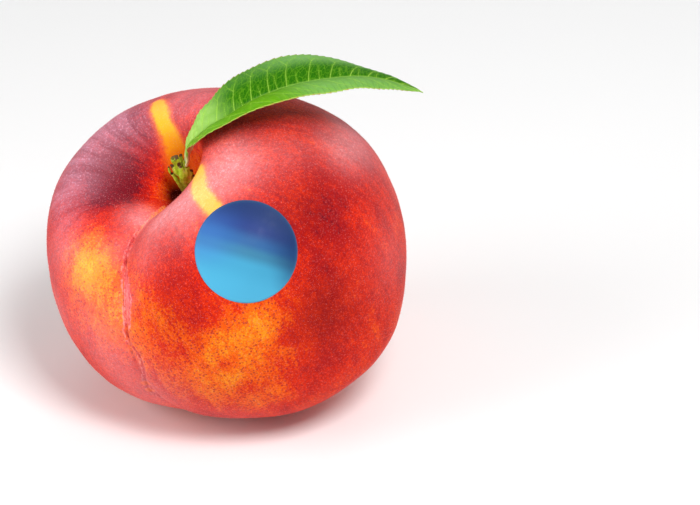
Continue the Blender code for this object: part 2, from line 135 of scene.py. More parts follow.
# Places where the fuzz lies thick and pale, partly a painted sheen; where it turns purple-pink at the crest
# and rims, partly a painted sheen; and painted shade in the pit and low and to the right on the fruit
THICK_FUZZ_AND_PAINTED_SHEEN_SPOTS = (
    (-1.1, -16.9, 31.1, 6.5, 0.46), (-4.5, -22.5, 27.5, 6.5, 0.36), (4, -20, 30.5, 7, 0.14),
    (-9.5, -20, 24, 5, 0.34), (-12.5, -20.5, 21, 5, 0.36), (-16, -20.5, 17.5, 4.5, 0.5),
    (-35.5, -24, 2, 9, 0.12), (-30, -30, -6, 9, 0.2), (-39, -14.6, -6.8, 7, 0.24), (-34.6, 5, 21.6, 8, 0.1),
    (-11.4, 4.9, 33.9, 7, 0.24), (-21.9, -11.8, 14.7, 3.6, 0.34), (-19, -14, 14.5, 3.2, 0.34),
    (-19.5, -9, 14.6, 2.6, 0.24), (-24.8, -19.6, 10.8, 5, 0.24), (-10.5, -27, 22, 6, 0.3),
    (-22, -31, 6, 3, 0.18), (-37.5, -17, 9.5, 5, 0.28), (-17.5, -27, 13, 5, 0.26),
    (-16, -31.5, -16, 9, 0.24), (-24, -28, -12, 8, 0.2), (-19, -25.5, -23.8, 7, 0.2), (0, -31, -24, 9, 0.1),
    (11.5, -14.6, 32.2, 6, 0.14), (21.9, -8, 28.6, 6, 0.4), (25.3, -1, 26.1, 6, 0.34),
    (23, 7.4, 26.6, 6, 0.3), (8, 0, 35, 9, 0.04), (-6, 18, 30, 10, 0.22), (30, 10, 18, 12, 0.2),
    (10, 33, 10, 12, 0.2), (-24, 26, 10, 12, 0.2), (34, -14, 6, 9, 0.14),
)
PURPLE_FUZZ_AND_RIM_SHEEN_SPOTS = (
    (-38.3, -6.2, 15.4, 6, 0.55), (-36.4, -1.3, 18.9, 6, 0.55), (-34.6, 5, 21.6, 6.5, 0.5),
    (-31.3, 9.1, 24.1, 6.5, 0.48), (-27, 10.9, 26.9, 6, 0.42), (-22.7, 11.9, 29, 5.5, 0.3),
    (-36.9, -12.8, 13, 4.5, 0.22), (-21.3, 5, 26.8, 5, 0.3), (-40.4, -12.8, 4.4, 5, 0.2),
    (-25.9, 7.8, 27.8, 5, 0.12), (-8.2, 4.4, 34.6, 8, 0.3), (23, 7.4, 26.6, 8, 0.24), (-6, 16, 32, 9, 0.25),
)
PAINTED_SHADE_SPOTS = (
    (-12, 1.4, 11.5, 3.4, 1), (-14.2, 0.6, 13.2, 2.4, 0.6), (-13.4, -3.4, 12.8, 3, 0.5),
    (17.8, -33.2, 4, 9, 0.34), (-12, -37.5, 6, 8, 0.24), (0, -38, -8, 18, 0.14), (-14, -34, -14, 9, 0.08),
    (14, -27, 25, 8, 0.26), (27, -22, -2, 12, 0.14),
)

# The leaf
MIDRIB = (
    (-11.2, -2.3, 21.9), (-10.8, -2.2, 23.4), (-10.7, -2.9, 25), (-10, -4.9, 28.3), (-7.6, -7.4, 32.1),
    (-5.4, -8.3, 34.5), (-2.3, -8.3, 36.5), (4.2, -5.9, 39.7), (11.9, -1.4, 40.7), (20.6, 2.6, 40.4),
    (26.7, 5, 39.6), (32.3, 7, 37.7), (37.1, 8.3, 35.4), (40, 9.2, 33.9),
)
LEAF_STALK = 3.1
STALK_HALF_WIDTH = 0.85
STALK_HALF_THICKNESS = 0.44
LEAF_HALF_WIDTH = 9.9
LEAF_SWELL = 1.02  # above 1 the blade is widest a little nearer its tip
LEAF_TEETH = 44
STATIONS_PER_TOOTH = 9
STALK_STATIONS = 20
HALF_COLUMNS = 48
TOOTH_DEPTHS = (0.3, 0.55)  # on the back margin and on the front one
LEAF_THICKNESS = 0.34
KEEL_DEPTH = 0.7
VEIN_DEPTH = 0.06
PUFF_HEIGHT = 0.04
GROOVE_OVER_RIB = 0.22
LEAF_FACE = Vector((0.0, -0.866, 0.5))
BACK_HALF_LEAN = (31.0, 68.0)
FRONT_HALF_LEAN = (81.0, 61.0)
HALF_CURL = 12.0
FRONT_VEIN_SHIFT = 1.1
VEIN_STARTS = (2.6, 6.2, 10.2, 14.4, 18.8, 23.1, 27.4, 31.7, 36.8, 41.8, 46.4, 50.6, 54.8, 58.6)
SHORT_VEIN_STARTS = (8.3, 12.4, 16.7, 20.9, 25.4, 29.5, 34.3, 39.4, 44.2, 48.4, 52.6, 56.8)

# The stem's limbs: (x, y, z, radius)
STALK = (
    (-11, 0.35, 12.6, 1.45), (-11.2, -0.2, 15, 1.3), (-11.5, -1.2, 17.5, 1.15), (-11.6, -2, 19.1, 1.25),
    (-11.6, -2.4, 20.4, 1.3), (-11.3, -2.3, 21.6, 0.75),
)
TWIGS = (
    ((-12.2, -2.3, 20.4, 0.7), (-12.9, -2.3, 21.9, 0.85), (-13.7, -2.55, 24.1, 1)),
    ((-11.9, -1.8, 20.6, 0.6), (-12.2, -1.1, 22.2, 0.42), (-12.5, -0.9, 23.8, 0.38)),
    ((-12.2, -2.1, 19.4, 0.5), (-13.4, -2.4, 20.4, 0.48), (-14.5, -2.6, 22.2, 0.34)),
    ((-11.5, -1, 14.2, 0.6), (-12.3, -1.5, 15.8, 0.5), (-13, -1.6, 17.3, 0.46), (-13.7, -1.6, 18.6, 0.46),
     (-14.4, -1.6, 19.6, 0.42)),
    ((-14.1, -1.6, 19.1, 0.3), (-14.8, -1.6, 19.9, 0.32), (-15.1, -1.55, 21.2, 0.22)),
    ((-12, -3, 19.6, 0.85), (-12.15, -3.3, 21, 0.65), (-12.45, -3.4, 22.6, 0.16)),
    ((-11, -2.2, 18.6, 0.55), (-10.3, -2.3, 19.8, 0.5), (-9.95, -2.35, 20.9, 0.26)),
    ((-11, -2.1, 17.9, 0.55), (-10.1, -2.1, 18.6, 0.45), (-9.5, -2.2, 19.5, 0.3)),
    ((-11.6, -2.6, 21.3, 0.35), (-11.6, -2.7, 22.6, 0.26), (-11.85, -2.7, 23.7, 0.1)),
)
# The hollows of its cut ends: x, y, z, radius and depth, and how far down its brown tips reach
HOLLOWS = (
    (-13.72, -2.7, 24.15, 0.78, 1), (-12.5, -0.9, 23.9, 0.22, 0.4), (-14.4, -1.7, 19.7, 0.3, 0.35),
    (-9.8, -2.5, 20.4, 0.3, 0.5),
)
TWIG_TIP_REACH = (1.15, 0.6, 0.9, 0.5, 0.35, 0.8, 0.6, 0.6, 0.3)
STEM_GRAIN = 0.085

# The sticker
STICKER_TOWARDS = Vector((2.8, -35.9, 19.8))
STICKER_RADIUS = 10.6
STICKER_FILM = 0.14
STICKER_GAP = 0.03
STICKER_LIFT = 0.12
STICKER_LIFT_FROM = 0.86
STICKER_RINGS = 26
STICKER_SIDES = 96

# The fuzz
FUZZ_PIECES = 2
FUZZ_HAIRS = 46000
FUZZ_LENGTH = 0.28
FUZZ_WIDTH = 0.022
FUZZ_SEED = 21
FUZZ_ROOT = 0.03
FUZZ_OFF_STICKER = 0.2
FUZZ_OFF_FLOOR = 0.6

# Colours along a ramp
SKIN_REDS = (
    (0, (1, 0.5, 0.03)), (0.22, (0.98, 0.31, 0.012)), (0.42, (0.92, 0.12, 0.004)),
    (0.6, (0.72, 0.026, 0.004)), (0.8, (0.42, 0.009, 0.007)), (1, (0.17, 0.005, 0.014)),
)
STRIPE_GOLDS = (
    (0, (0.78, 0.11, 0.001)), (0.1, (0.93, 0.25, 0.001)), (0.24, (1, 0.38, 0.002)),
    (0.6, (1, 0.53, 0.006)), (1, (1, 0.42, 0.03)),
)
STICKER_BLUES = (
    (0, (0.065, 0.37, 0.58)), (0.3, (0.05, 0.31, 0.5)), (0.47, (0.036, 0.18, 0.31)),
    (0.62, (0.022, 0.1, 0.28)), (0.8, (0.016, 0.034, 0.18)), (1, (0.012, 0.026, 0.12)),
)
STEM_GREENS = ((0.22, (0.13, 0.24, 0.008)), (0.45, (0.38, 0.56, 0.02)), (0.75, (0.66, 0.8, 0.1)))

# The floor's half width in metres, the light from all around, and the lights: place, aim, size and power
FLOOR_HALF = 3.0
WORLD_LIGHT = 0.28
LIGHTS = (
    ("top_light", (180, -330, 520), (5, -5, 40), 210, 3.1),
    ("left_light", (-560, -200, 330), (0, -5, 35), 420, 2.6),
    ("back_light", (140, 480, 420), (0, 0, 40), 420, 0.6),
    ("right_light", (520, 60, 420), (20, 0, 50), 320, 0.4),
)


def bell(u, middle, spread):
    """A smooth bump of height 1."""
    return np.exp(-((u - middle) / spread) ** 2)


def ease(x):
    """A smooth step from 0 to 1."""
    x = np.clip(x, 0, 1)
    return x * x * (3 - 2 * x)


def unit(vectors, least=0.0):
    """Vectors of length 1 that point the same way."""
    return vectors / (norm(vectors, axis=-1)[..., None] + least)


def smooth_curve(points, first, last, steps):
    """A centripetal curve through points; first and last only guide its ends."""
    knots = np.array([first, *points, last], dtype=float)
    gaps = np.sqrt(norm(np.diff(knots, axis=0), axis=1))
    curve = []
    for i in range(1, len(knots) - 2):
        at = np.concatenate([[0], np.cumsum(gaps[i - 1:i + 2])])
        t = (at[1] + (at[2] - at[1]) * np.arange(steps) / steps)[:, None]
        near = knots[i - 1:i + 3]
        for reach in (1, 2):
            pairs = enumerate(zip(near, near[1:]))
            near = [a + (b - a) * (t - at[k]) / (at[k + reach] - at[k]) for k, (a, b) in pairs]
        curve.append(near[0] + (near[1] - near[0]) * (t - at[1]) / (at[2] - at[1]))
    return np.vstack([*curve, knots[-2]])


def open_curve(points, steps):
    """A smooth curve whose ends run straight on."""
    points = np.array(points, dtype=float)
    return smooth_curve(points, 2 * points[0] - points[1], 2 * points[-1] - points[-2], steps)


def lengths_along(points):
    """The length from a path's first point to each of its points."""
    return np.concatenate([[0], np.cumsum(norm(np.diff(points, axis=0), axis=1))])


def wander(x, seed):
    """A smooth wandering value between about -1 and 1."""
    total = 0
    for k, (pace, share) in enumerate(((1.0, 0.42), (2.3, 0.3), (4.1, 0.18), (7.9, 0.1))):
        total = total + share * np.sin(pace * x + seed * (1.7 + k) + k)
    return total


def lumps(points, size, seed):
    """A smooth uneven value in space, between about -1 and 1, with lumps of about this size."""
    rng = np.random.default_rng(seed)
    waves = rng.normal(size=(14, 3))
    waves *= (rng.uniform(0.6, 1.6, 14) * pi / size / norm(waves, axis=1))[:, None]
    phases = rng.uniform(0, 2 * pi, 14)
    return np.sin(points @ waves.T + phases).sum(axis=1) / sqrt(14)


def nearest_tree(points):
    """A tree that finds the nearest of these points."""
    tree = KDTree(len(points))
    for i, point in enumerate(points):
        tree.insert(point, i)
    tree.balance()
    return tree


def grid_quads(index, closed=False):
    """Quads between the rows and columns of a grid of point numbers."""
    if closed:
        index = np.column_stack([index, index[:, 0]])
    corners = [index[:-1, :-1], index[1:, :-1], index[1:, 1:], index[:-1, 1:]]
    return np.stack(corners, axis=-1).reshape(-1, 4)


def new_object(name, data):
    """An object in the scene that shows this data."""
    made = bpy.data.objects.new(name, data)
    bpy.context.collection.objects.link(made)
    return made


def mesh_object(name, points, faces, finish, nodes):
    """A smooth-shaded piece from points in millimetres, standing for CAD nodes."""
    mesh = bpy.data.meshes.new(name)
    world = (np.asarray(points) + np.array(CENTRE)) * MM
    mesh.from_pydata(world.tolist(), [], faces)
    mesh.validate()
    mesh.materials.append(finish)
    mesh.shade_smooth()
    piece = new_object(name, mesh)
    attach(piece, "root")
    if nodes:
        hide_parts(*nodes)
    return piece


def set_values(piece, **values):
    """Stores values or vectors, one for each corner point of a piece's mesh."""
    for name, value in values.items():
        value = np.asarray(value, dtype=np.float32)
        kind, key = ("FLOAT_VECTOR", "vector") if value.ndim == 2 else ("FLOAT", "value")
        piece.data.attributes.new(name, kind, "POINT").data.foreach_set(key, value.ravel())


class Tree:
    """A material's node tree, built by short calls that return sockets."""

    def __init__(self, name):
        self.material = bpy.data.materials.new(name)
        self.material.use_nodes = True
        self.tree = self.material.node_tree
        self.shader = self.tree.nodes["Principled BSDF"]
        self.colour = None

    def put(self, kind, *values, **settings):
        """Adds a node and fills its inputs in order; None leaves one as it is."""
        node = self.tree.nodes.new("ShaderNode" + kind)
        for key, value in settings.items():
            setattr(node, key, value)
        for socket, value in zip(node.inputs, values):
            self.fill(socket, value)
        return node

    def fill(self, socket, value):
        if isinstance(value, bpy.types.NodeSocket):
            self.tree.links.new(value, socket)
        elif value is not None:
            socket.default_value = value

    def value(self, name):
        return self.put("Attribute", attribute_name=name).outputs["Fac"]

    def vector(self, name):
        return self.put("Attribute", attribute_name=name).outputs["Vector"]

    def math(self, operation, *values, clamp=False):
        return self.put("Math", *values, operation=operation, use_clamp=clamp).outputs[0]

    def times(self, a, b, clamp=False):
        return self.math("MULTIPLY", a, b, clamp=clamp)

    def times_add(self, a, b, more):
        """a times b, and more added."""
        return self.math("MULTIPLY_ADD", a, b, more)

    def apart(self, a, b):
        """How far two values are apart."""
        return self.math("ABSOLUTE", self.math("SUBTRACT", a, b))

    def parts(self, vector):
        return self.put("SeparateXYZ", vector).outputs

    def joined(self, *parts):
        return self.put("CombineXYZ", *parts).outputs[0]

    def scaled(self, vector, triple):
        """The vector times a number for each axis."""
        return self.put("VectorMath", vector, triple, operation="MULTIPLY").outputs[0]

    def noise(self, vector, scale, detail=3.0, roughness=0.5, distortion=0.0):
        node = self.put("TexNoise", vector)
        values = {"Scale": scale, "Detail": detail, "Roughness": roughness, "Distortion": distortion}
        for key, value in values.items():
            node.inputs[key].default_value = value
        return node.outputs["Fac"]

    def centred(self, *noise):
        """Noise around 0."""
        return self.math("SUBTRACT", self.noise(*noise), 0.5)

    def cells(self, vector, scale, feature="F1"):
        node = self.put("TexVoronoi", vector, feature=feature)
        node.inputs["Scale"].default_value = scale
        return node.outputs["Distance"]

    def step(self, value, start, end, low=0.0, high=1.0):
        """A smooth step from low at start to high at end."""
        node = self.put("MapRange", value, start, end, low, high, interpolation_type="SMOOTHSTEP")
        return node.outputs[0]

    def mix(self, share, a, b):
        """Mixes two colours."""
        node = self.put("Mix", data_type="RGBA")
        self.fill(node.inputs[0], share)
        self.fill(node.inputs[6], a if isinstance(a, bpy.types.NodeSocket) else (*a, 1.0))
        self.fill(node.inputs[7], b if isinstance(b, bpy.types.NodeSocket) else (*b, 1.0))
        return node.outputs[2]

    def coat(self, share, paint):
        """Covers a share of the colour so far with paint."""
        self.colour = self.mix(share, self.colour, paint)

    def tint(self, share, amount, paint):
        self.coat(self.times(share, amount), paint)

    def ramp(self, value, stops):
        """A colour ramp: stops are (place, colour)."""
        node = self.put("ValToRGB", value)
        ramp = node.color_ramp
        ramp.interpolation = "EASE"
        while len(ramp.elements) < len(stops):
            ramp.elements.new(0.5)
        for element, (place, colour) in zip(ramp.elements, stops):
            element.position = place
            element.color = (*colour, 1.0)
        return node.outputs[0]

    def bump(self, height, strength, distance):
        node = self.put("Bump")
        node.inputs["Strength"].default_value = strength
        node.inputs["Distance"].default_value = distance * MM
        self.fill(node.inputs["Height"], height)
        return node.outputs[0]

    def finish(self, roughness, normal, **constants):
        """Joins the colour, roughness and normal to the shader, and sets its other sockets to constants."""
        self.fill(self.shader.inputs["Base Color"], self.colour)
        self.fill(self.shader.inputs["Roughness"], roughness)
        self.fill(self.shader.inputs["Normal"], normal)
        for key, value in constants.items():
            self.shader.inputs[key.replace("_", " ")].default_value = value
        return self.material


# The fruit


def fruit_turn():
    """The rotation that takes the fruit from its own axes to how it lies."""
    towards = radians(LEAN_TOWARDS)
    lean = Matrix.Rotation(towards, 3, "Z") @ Matrix.Rotation(radians(AXIS_LEAN), 3, "Y")
    return lean @ Matrix.Rotation(radians(SUTURE_TURN) - towards, 3, "Z")


def fruit_rows():
    """Radius, height, place, outward normal and length of evenly spaced rows, pit to blossom end."""
    mirrored = [(-PROFILE[i][0], PROFILE[i][1]) for i in (1, -2)]
    curve = smooth_curve(PROFILE, *mirrored, PROFILE_STEPS)
    along = lengths_along(curve)
    slope = unit(np.gradient(curve, axis=0))
    crowd = 1 + sum(much * bell(along, middle, spread) for middle, spread, much in ROW_CROWDS)
    share = np.concatenate([[0], np.cumsum((crowd[1:] + crowd[:-1]) / 2 * np.diff(along))])
    even = np.interp(np.linspace(0, share[-1], ROWS), share, along)
    place = np.arange(len(curve)) / PROFILE_STEPS
    columns = (curve[:, 0], curve[:, 1], place, -slope[:, 1], slope[:, 0], along)
    return np.column_stack([np.interp(even, along, column) for column in columns])


def suture_relief(radius, height, angle):
    """How far the skin stands in or out along its normal, from the suture's groove, crease and step."""
    arc = radius * angle
    low = 1 / (1 + np.exp((height + 3) / 5))
    groove = (GROOVE_DEPTH_TOP * (1 - low) + GROOVE_DEPTH_LOW * low) * bell(arc, 0, GROOVE_HALF_WIDTH)
    crease = CREASE_DEPTH * np.exp(-np.abs(arc) / CREASE_HALF_WIDTH)
    step = LOBE_STEP * low * arc / (np.abs(arc) + 1.5) * np.exp(-np.abs(arc) / 12)
    fade = np.clip(radius / 14, 0, 1) ** 1.2
    return fade * (step - groove - crease)


def seam_frame(points, normals):
    """Signed distance from the suture, length along it and its band's half width, at each point."""
    path = open_curve(SEAM, 10)
    along = lengths_along(path[:, :3])
    tree = nearest_tree(path[:, :3])
    seam = np.tile((9.0, 0.0, 1.0), (len(points), 1))
    for i in np.flatnonzero(patch_sum(points, [(*knot[:3], 5.0, 1.0) for knot in SEAM]) > 0.3):
        _, k, _ = tree.find(points[i])
        a, b = path[max(k - 1, 0), :3], path[min(k + 1, len(path) - 1), :3]
        run = (b - a) / norm(b - a)
        gap = points[i] - path[k, :3]
        across = np.cross(run, normals[i])
        seam[i] = (gap @ across, along[k] + gap @ run, path[k, 3])
    reach = ease((seam[:, 1] + 0.8) / 1.6) * ease((along[-1] + 0.5 - seam[:, 1]) / 2.0) * (seam[:, 0] < 8.5)
    return seam, reach


def seam_relief(seam, reach):
    """The suture's folds, in millimetres: two ragged lips with furrows beside them, and folds between."""
    off, along, band = seam.T
    off = off + 0.26 * wander(along / 0.9, 2.0) + 0.14 * wander(along / 0.33, 7.0)
    wide = ease((band - 0.5) / 0.4)
    relief = 0
    for way, seed in ((-1, 5.0), (1, 9.0)):
        edge = off - way * band * (1 + 0.36 * wander(along / 1.3, seed))
        high = 0.1 + 0.13 * wander(along / 0.7, seed + 1)
        relief = relief + high * bell(edge, 0, 0.24) - 0.6 * high * bell(edge, -way * 0.42, 0.2)
    relief = relief - (0.3 * (1 - wide) + 0.06) * bell(off, 0, 0.2)
    folds = wander(off / 0.17 + 2.2 * wander(along / 2.4, 3.0), 4.0) * wander(along / 1.1 + off, 6.0)
    relief = relief + 0.16 * wide * folds * (np.abs(off) < band)
    return reach * relief


def fruit_surface(rows, angle, detail):
    """Points of the fruit in its own axes for every row and angle from the suture."""
    radius, height, place, out, up, _ = (rows[:, i:i + 1] for i in range(6))
    angle = angle[None, :]
    relief = suture_relief(radius, height, angle) + detail
    round_radius = radius + out * relief
    for middle, spread, amount, towards in RING_OVALS:
        oval = amount * bell(place, middle, spread) * np.cos(2 * (angle - radians(towards)))
        round_radius = round_radius + np.clip(radius / 8, 0, 1) * oval
    middle, spread, depth = RIM_NOTCH
    notch = depth * bell(place, middle, spread)
    notch = notch * np.exp(-(np.abs(angle) / radians(RIM_NOTCH_HALF_ANGLE)) ** 1.4)
    middle, spread, rise, towards = RIM_RISE
    lift = rise * bell(place, middle, spread) * np.cos(angle - radians(towards))
    middle, spread, rise, outward = RIM_CREST
    off = (angle - radians(RIM_CREST_TOWARDS)) / radians(RIM_CREST_HALF_ANGLE)
    crest = bell(place, middle, spread) * np.exp(-off ** 2)
    round_radius = round_radius + outward * crest
    z = height + up * relief - notch + lift + rise * crest
    middle, spread, swing = SUTURE_SWING
    turned = angle + radians(swing) * bell(place, middle, spread)
    x = round_radius * np.cos(turned)
    y = round_radius * np.sin(turned)
    for middle, spread, amount, towards in RING_SHIFTS:
        shift = amount * bell(place, middle, spread)
        x = x + shift * cos(radians(towards))
        y = y + shift * sin(radians(towards))
    return np.stack([x, y, z], axis=-1)


def patch_sum(points, patches):
    """The sum of soft round patches at each point."""
    total = np.zeros(len(points))
    for x, y, z, radius, amount in patches:
        distance = ((points - (x, y, z)) ** 2).sum(axis=1)
        total += amount * np.exp(-distance / radius ** 2)
    return total


def stripe_field(points, stripe):
    """Distance from a stripe's middle line, in half widths, at each point."""
    knots = open_curve(stripe, 8)
    best = np.full(len(points), 9.0)
    for x, y, z, half in knots:
        best = np.minimum(best, np.sqrt(((points - (x, y, z)) ** 2).sum(axis=1)) / half)
    return best


def fruit_grid():
    """Rows and columns of the fruit's fine surface: points as it lies, with seam and streak coordinates."""
    rows = fruit_rows()
    share = np.arange(COLUMNS) / COLUMNS
    angle = 2 * np.pi * share - COLUMN_CROWDING * np.sin(2 * np.pi * share)
    angle = (angle + np.pi) % (2 * np.pi) - np.pi
    radius, place = rows[:, 0:1], rows[:, 2:3]
    arc = radius * angle[None, :]
    smooth = fruit_surface(rows, angle, 0.0)
    flat = smooth.reshape(-1, 3)
    uneven = sum(height * lumps(flat, size, seed) for height, size, seed in UNEVENNESS)
    uneven = uneven.reshape(arc.shape) * np.clip(radius / 6, 0, 1)
    points = fruit_surface(rows, angle, uneven)
    turn = np.array(fruit_turn())
    lying = points @ turn.T
    normals = np.cross(np.gradient(lying, axis=1), np.gradient(lying, axis=0)).reshape(-1, 3)
    normals = unit(normals, 1e-12)
    normals *= np.sign((normals * lying.reshape(-1, 3)).sum())
    seam, reach = seam_frame(lying.reshape(-1, 3), normals)
    lying = lying + (normals * seam_relief(seam, reach)[:, None]).reshape(lying.shape)
    for x, y, z, wide, high in SCARS:
        off = (lying - (x, y, z)) / (wide, wide, high)
        sunk = SCAR_DEPTH * np.exp(-(off ** 2).sum(axis=-1))[..., None]
        lying = lying - normals.reshape(lying.shape) * sunk
    floor = -CENTRE.z
    lift = lying[..., 2] - floor
    pressed = np.clip(REST_ROUNDING + lift, 0, None) ** 2 / REST_ROUNDING / 4
    lying[..., 2] = floor + np.where(lift < REST_ROUNDING, pressed, lift)
    streak = np.stack([np.cos(angle) + 0 * radius, np.sin(angle) + 0 * radius, place + 0 * arc], axis=-1)
    return lying, points, seam.reshape(*arc.shape, 3), streak, reach.reshape(*arc.shape, 1)


def fruit_faces():
    """Quads between the rows, with one point at the pit and one at the blossom end."""
    index = np.arange(COLUMNS * (ROWS - 2)).reshape(-1, COLUMNS) + 2
    first, last = index[0].tolist(), index[-1].tolist()
    faces = grid_quads(index, closed=True).tolist()
    faces += [(0, a, b) for a, b in zip(first, first[1:] + first[:1])]
    faces += [(a, 1, b) for a, b in zip(last, last[1:] + last[:1])]
    return faces


def ringed(grid):
    """The grid's points in the order that fruit_faces uses."""
    return np.vstack([grid[0, :1], grid[-1, :1], grid[1:-1].reshape(-1, grid.shape[-1])])


def skin_layers(t, place, streak):
    """How red the skin is: broad clouds, streaks along the fruit and fine grain over the blush."""
    clouds = t.centred(place, 0.09, 3, 0.55, 0.4)
    mottle = t.centred(place, 0.38, 4, 0.6, 0.5)
    long_streaks = t.centred(t.scaled(streak, (7, 7, 0.55)), 1, 4, 0.6, 0.6)
    fine_streaks = t.centred(t.scaled(streak, (19, 19, 2.2)), 1, 3, 0.65, 0.4)
    grain = t.centred(place, 1.9, 3, 0.7)
    # The blush values hold a few patches of painted shade.
    redness = t.value("blush")
    amounts = (0.3, 0.3, 0.46, 0.18, 0.62)
    for layer, amount in zip((clouds, mottle, long_streaks, fine_streaks, grain), amounts):
        redness = t.times_add(layer, amount, redness)
    return redness, mottle, grain, long_streaks


def skin_dots(t, place, down, redness):
    """Fine dark-red dots, close together where the skin is orange."""
    dots = t.step(t.cells(place, 1.3), 0.2, 0.4, 1, 0)
    more_dots = t.step(t.cells(place, 1.9), 0.18, 0.36, 1, 0)
    spread = t.step(t.noise(place, 0.45, 2), 0.25, 0.55, 0.35, 1)
    spread = t.times(spread, t.step(down, 2.2, 3))
    dotted = t.times(dots, t.step(redness, 0.9, 0.5, 0.3, 0.8))
    dotted = t.times(dotted, t.step(redness, 0.16, 0.4, 0.5, 1))
    dot_red = t.mix(t.step(redness, 0.18, 0.42), (0.82, 0.13, 0.03), (0.4, 0.012, 0.022))
    t.coat(t.times(dotted, spread), dot_red)
    t.tint(more_dots, 0.5, dot_red)


def skin_stripe(t, down, mottle, grain):
    """The yellow stripe, orange towards the pit and at its edges, and how far each place is in it."""
    ragged = t.times_add(mottle, 0.7, t.value("stripe"))
    ragged = t.times_add(grain, 0.5, ragged)
    t.tint(t.step(ragged, 1.7, 0.95), 0.75, (0.96, 0.16, 0.01))
    in_stripe = t.step(ragged, 1.22, 0.62)
    gold = t.ramp(t.step(down, 1.7, 4.3), STRIPE_GOLDS)
    t.coat(in_stripe, gold)
    return in_stripe


def skin_suture(t, place):
    """Two ragged pale lips with furrows and folds of deeper pink, the torn top, and orange scars."""
    arc, along, band = t.parts(t.vector("seam"))
    sway = t.times_add(t.centred(place, 1.3, 2), 1.2, arc)
    sway = t.times_add(t.centred(place, 3.6, 2), 0.5, sway)
    off = t.math("ABSOLUTE", sway)
    reach = t.value("seam_reach")
    inside = t.times(t.step(t.math("SUBTRACT", off, band), 0.25, -0.15), reach)
    broad = t.step(band, 0.45, 0.85)
    t.tint(t.times(inside, broad), 0.55, (0.9, 0.13, 0.17))
    wave = t.joined(t.times(arc, 3.2), t.times(along, 0.8))
    folds = t.step(t.noise(wave, 0.9, 3, 0.7), 0.46, 0.62)
    t.tint(t.times(folds, inside), 0.42, (0.95, 0.38, 0.36))
    edge = t.step(t.apart(off, band), 0.26, 0.06)
    edge = t.times(t.times(edge, reach), t.step(t.noise(place, 1.1, 3), 0.38, 0.62))
    right = t.math("MAXIMUM", broad, t.step(sway, -0.1, 0.2))
    t.tint(t.times(edge, right), 0.45, (0.96, 0.38, 0.37))
    furrow = t.step(t.apart(t.math("ADD", off, 0.4), band), 0.18, 0.03)
    furrow = t.math("MAXIMUM", furrow, t.times(t.step(off, 0.2, 0.04), t.step(band, 0.8, 0.45)))
    t.tint(t.times(furrow, reach), 0.8, (0.62, 0.014, 0.018))
    torn = t.times(t.step(along, 14, 11), t.times(t.step(off, 0.62, 0.2), reach))
    torn = t.times(torn, t.step(t.noise(place, 1.9, 2), 0.38, 0.54))
    t.coat(torn, (1, 0.34, 0.05))
    t.coat(t.step(t.value("scar"), 0.25, 0.6), (0.9, 0.13, 0.006))


def paint_fuzz_sheen_and_shade(t, place, in_stripe, long_streaks):
    """A pale fuzz with flecks in it, partly a painted sheen, paler yet over the stripe; purple-pink on the
    left crest and the rims, partly a painted sheen; and painted shade in the pit and low on the fruit.
    """
    flecks = t.step(t.noise(place, 2.3, 2, 0.7), 0.5, 0.7)
    specks = t.step(t.cells(place, 1.7), 0.1, 0.26, 1, 0)
    # The pale fuzz here is partly real flecks and partly a painted sheen where the light falls.
    pale_cover_and_painted_sheen = t.times_add(specks, 0.22, t.value("bloom"))
    pale_cover_and_painted_sheen = t.times(pale_cover_and_painted_sheen, t.step(t.noise(place, 0.8, 3), 0.2, 0.75, 0.75, 1.15))
    pale_cover_and_painted_sheen = t.times(pale_cover_and_painted_sheen, t.times_add(flecks, 0.55, 0.75), clamp=True)
    pale = t.mix(in_stripe, (0.95, 0.43, 0.46), (1, 0.79, 0.32))
    t.coat(pale_cover_and_painted_sheen, pale)
    # A purple-pink veil on the crest and along the rims, partly a painted sheen.
    purple_cover_and_rim_sheen = t.times(t.value("mauve"), t.times_add(flecks, 0.7, 0.62))
    purple_cover_and_rim_sheen = t.times(purple_cover_and_rim_sheen, t.math("SUBTRACT", 1, t.times(in_stripe, 0.8)))
    purple_cover_and_rim_sheen = t.times(purple_cover_and_rim_sheen, t.step(long_streaks, 0.2, -0.1, 0.55, 1.1), clamp=True)
    t.coat(purple_cover_and_rim_sheen, (0.6, 0.28, 0.37))
    # Painted shade: near-black red where the pit lies in shade, and darker on the lower and right sides of
    # the fruit.
    t.coat(t.times(t.value("deep"), 1, clamp=True), (0.05, 0.002, 0.001))


def skin_material():
    t = Tree("peach_skin")
    place = t.vector("own_place")
    streak = t.vector("streak")
    redness, mottle, grain, long_streaks = skin_layers(t, place, streak)
    down = t.parts(streak)[2]
    t.colour = t.ramp(redness, SKIN_REDS)
    skin_dots(t, place, down, redness)
    in_stripe = skin_stripe(t, down, mottle, grain)
    skin_suture(t, place)
    paint_fuzz_sheen_and_shade(t, place, in_stripe, long_streaks)
    relief = t.math("ADD", t.noise(place, 2.2, 3, 0.6), t.times(t.noise(place, 7, 2), 0.5))
    normal = t.bump(relief, 0.25, 0.12)
    roughness = t.step(t.noise(place, 1.6, 2), 0.3, 0.7, 0.5, 0.62)
    return t.finish(roughness, normal, Sheen_Weight=0.04, Sheen_Roughness=0.4,
                    Sheen_Tint=(1, 0.8, 0.8, 1), Specular_IOR_Level=0.05)


